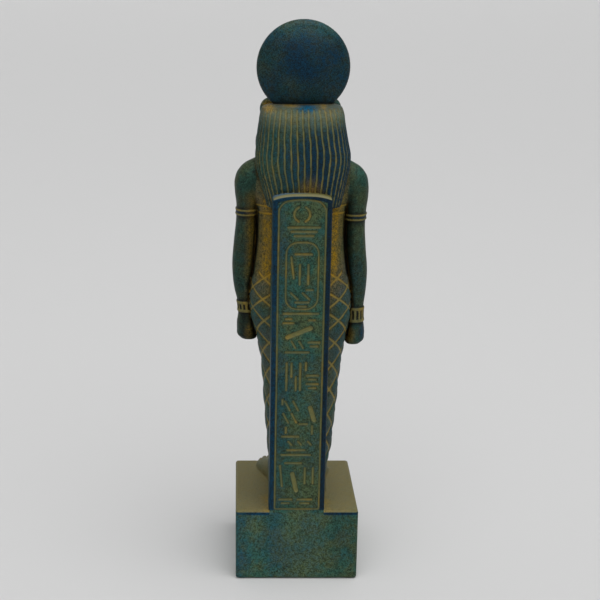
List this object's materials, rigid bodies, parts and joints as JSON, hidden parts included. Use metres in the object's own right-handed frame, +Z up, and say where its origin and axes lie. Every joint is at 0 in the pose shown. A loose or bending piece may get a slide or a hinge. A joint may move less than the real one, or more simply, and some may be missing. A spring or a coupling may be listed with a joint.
{
  "type": "lioness-headed goddess statue",
  "caption": "Cast standing figure with a lioness head and sun disk, arms at its sides, net dress, back pillar and square plinth.",
  "frame": {"origin": "centre of the plinth's underside", "axes": "+Z up, the figure faces -Y, and +X is on the figure's left"},
  "size_m": [0.0723, 0.068, 0.3012],
  "materials": {
    "patinated_stone": "satin painted patina: blue and green with ochre in the hollows"
  },
  "bodies": {
    "root": {"sekhmet_statue": "patinated_stone"}
  },
  "joints": []
}
